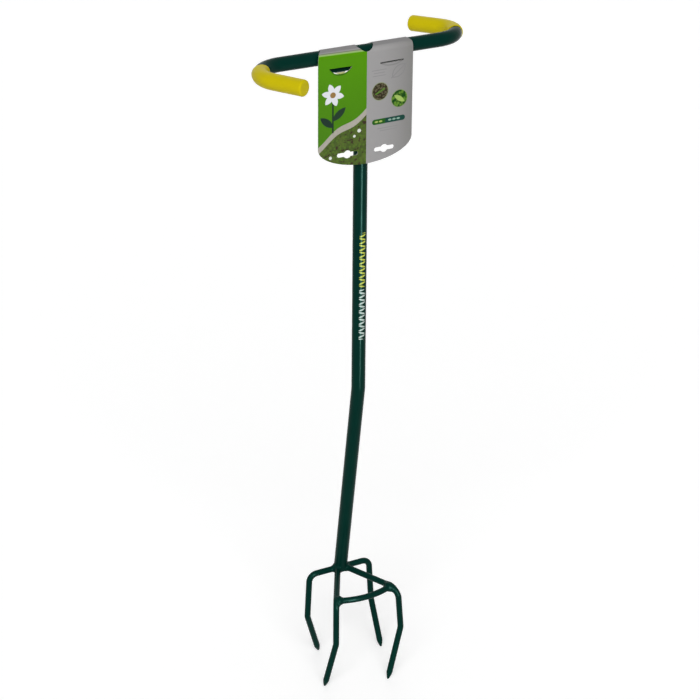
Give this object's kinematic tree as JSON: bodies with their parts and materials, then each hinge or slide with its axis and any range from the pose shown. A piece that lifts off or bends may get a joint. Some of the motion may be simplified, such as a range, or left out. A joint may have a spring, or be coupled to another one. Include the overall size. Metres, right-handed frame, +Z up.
{
  "type": "twist tiller",
  "caption": "Upright twist tiller: bent tube shaft with an S-shaped grip bar, twisted claw tines and a curved foot rest, with a card wrapped round the bar.",
  "frame": {"origin": "on the ground, under the middle of the handlebar", "axes": "+Z up along the shaft, +X along the handlebar's straight middle, -Y towards the user and the foot rest"},
  "size_m": [0.3952, 0.2573, 1.1248],
  "materials": {
    "green_coat": "satin dark green powder coat",
    "yellow_vinyl": "dipped soft vinyl, satin",
    "card": "printed card, satin varnish"
  },
  "bodies": {
    "tiller": {"handlebar_tube": "green_coat", "shaft_tube": "green_coat", "rear_tine_rod": "green_coat", "front_left_tine_rod": "green_coat", "front_right_tine_rod": "green_coat", "foot_rest_bar": "green_coat", "handlebar_weld": "green_coat", "hub_weld": "green_coat", "foot_rest_weld_left": "green_coat", "foot_rest_weld_right": "green_coat", "left_grip": "yellow_vinyl", "right_grip": "yellow_vinyl"},
    "card": {"card_sleeve": "card"}
  },
  "joints": [
    {"name": "card_swing", "type": "hinge", "parent": "tiller", "child": "card", "pos_m": [0, 0, 1.1074], "axis": [-1, 0, 0], "range_deg": [0, 16]}
  ]
}
